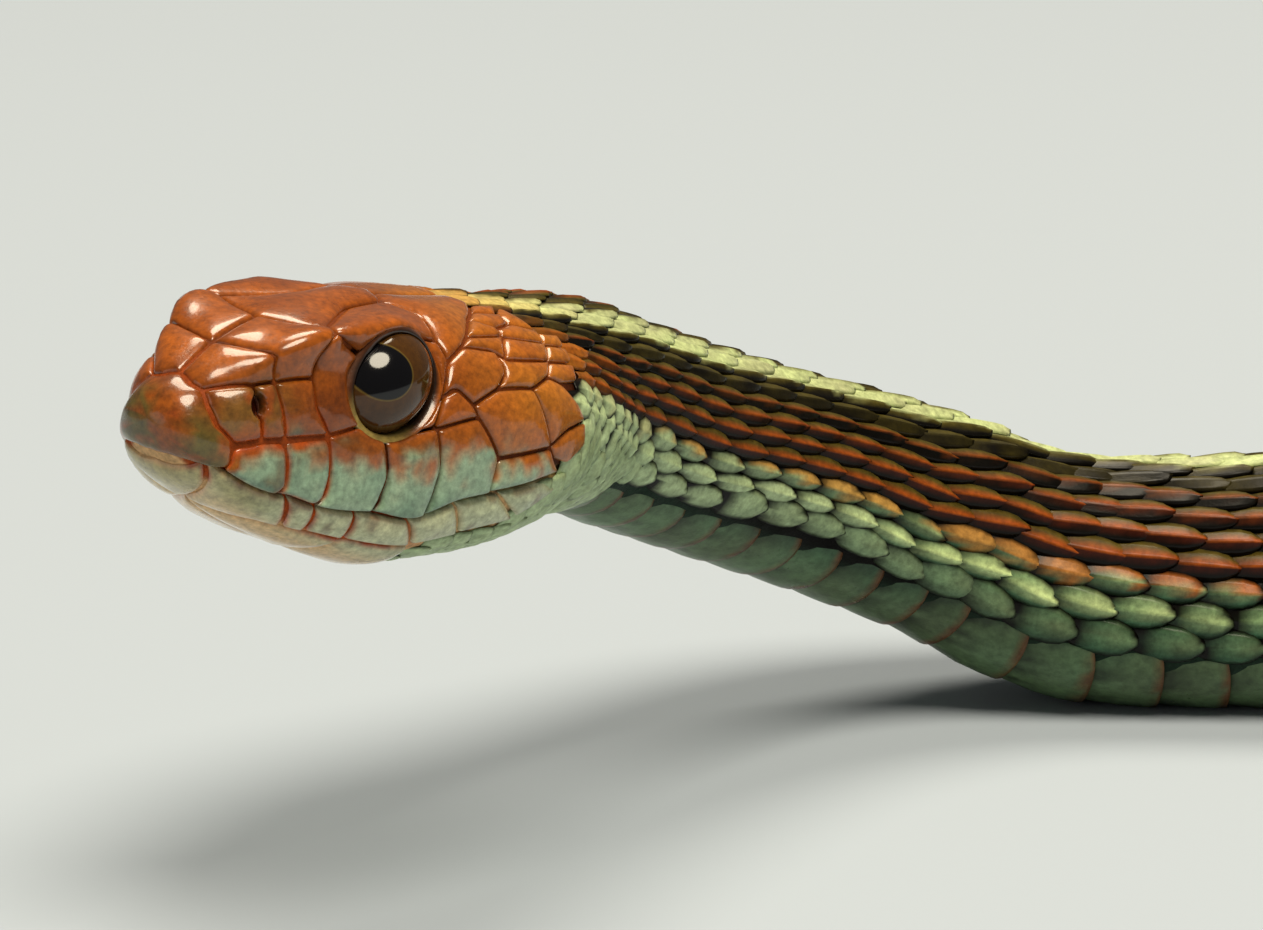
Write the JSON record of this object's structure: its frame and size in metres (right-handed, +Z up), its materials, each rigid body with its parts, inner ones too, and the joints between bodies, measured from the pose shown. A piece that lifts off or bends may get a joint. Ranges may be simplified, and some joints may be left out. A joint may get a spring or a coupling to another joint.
{
  "type": "garter snake model",
  "caption": "Life-size museum-style model of a garter snake resting on its belly in loose bends, with the neck and head raised.",
  "frame": {"origin": "on the floor, under the belly where the raised neck comes down to rest", "axes": "+Z up from the floor; +X the way the body runs back from the origin; the head points to -X and -Y"},
  "size_m": [0.4773, 0.1336, 0.0254],
  "materials": {
    "head_skin": "glossy shields, orange-brown with blue-green lips",
    "jaw_skin": "glossy shields, pale blue-green and cream",
    "eye": "wet gloss, round black pupil with a thin golden ring",
    "body_skin": "keeled satin scales with pale, black, red and blue-green stripes"
  },
  "bodies": {
    "root": {"head": "head_skin", "lower_jaw": "jaw_skin", "eye_left": "eye", "eye_right": "eye", "neck": "body_skin", "trunk_1": "body_skin", "trunk_2": "body_skin", "trunk_3": "body_skin", "trunk_4": "body_skin", "trunk_5": "body_skin", "trunk_6": "body_skin", "trunk_7": "body_skin", "trunk_8": "body_skin", "trunk_9": "body_skin", "tail_1": "body_skin", "tail_2": "body_skin", "tail_3": "body_skin", "tail_4": "body_skin"}
  },
  "joints": []
}
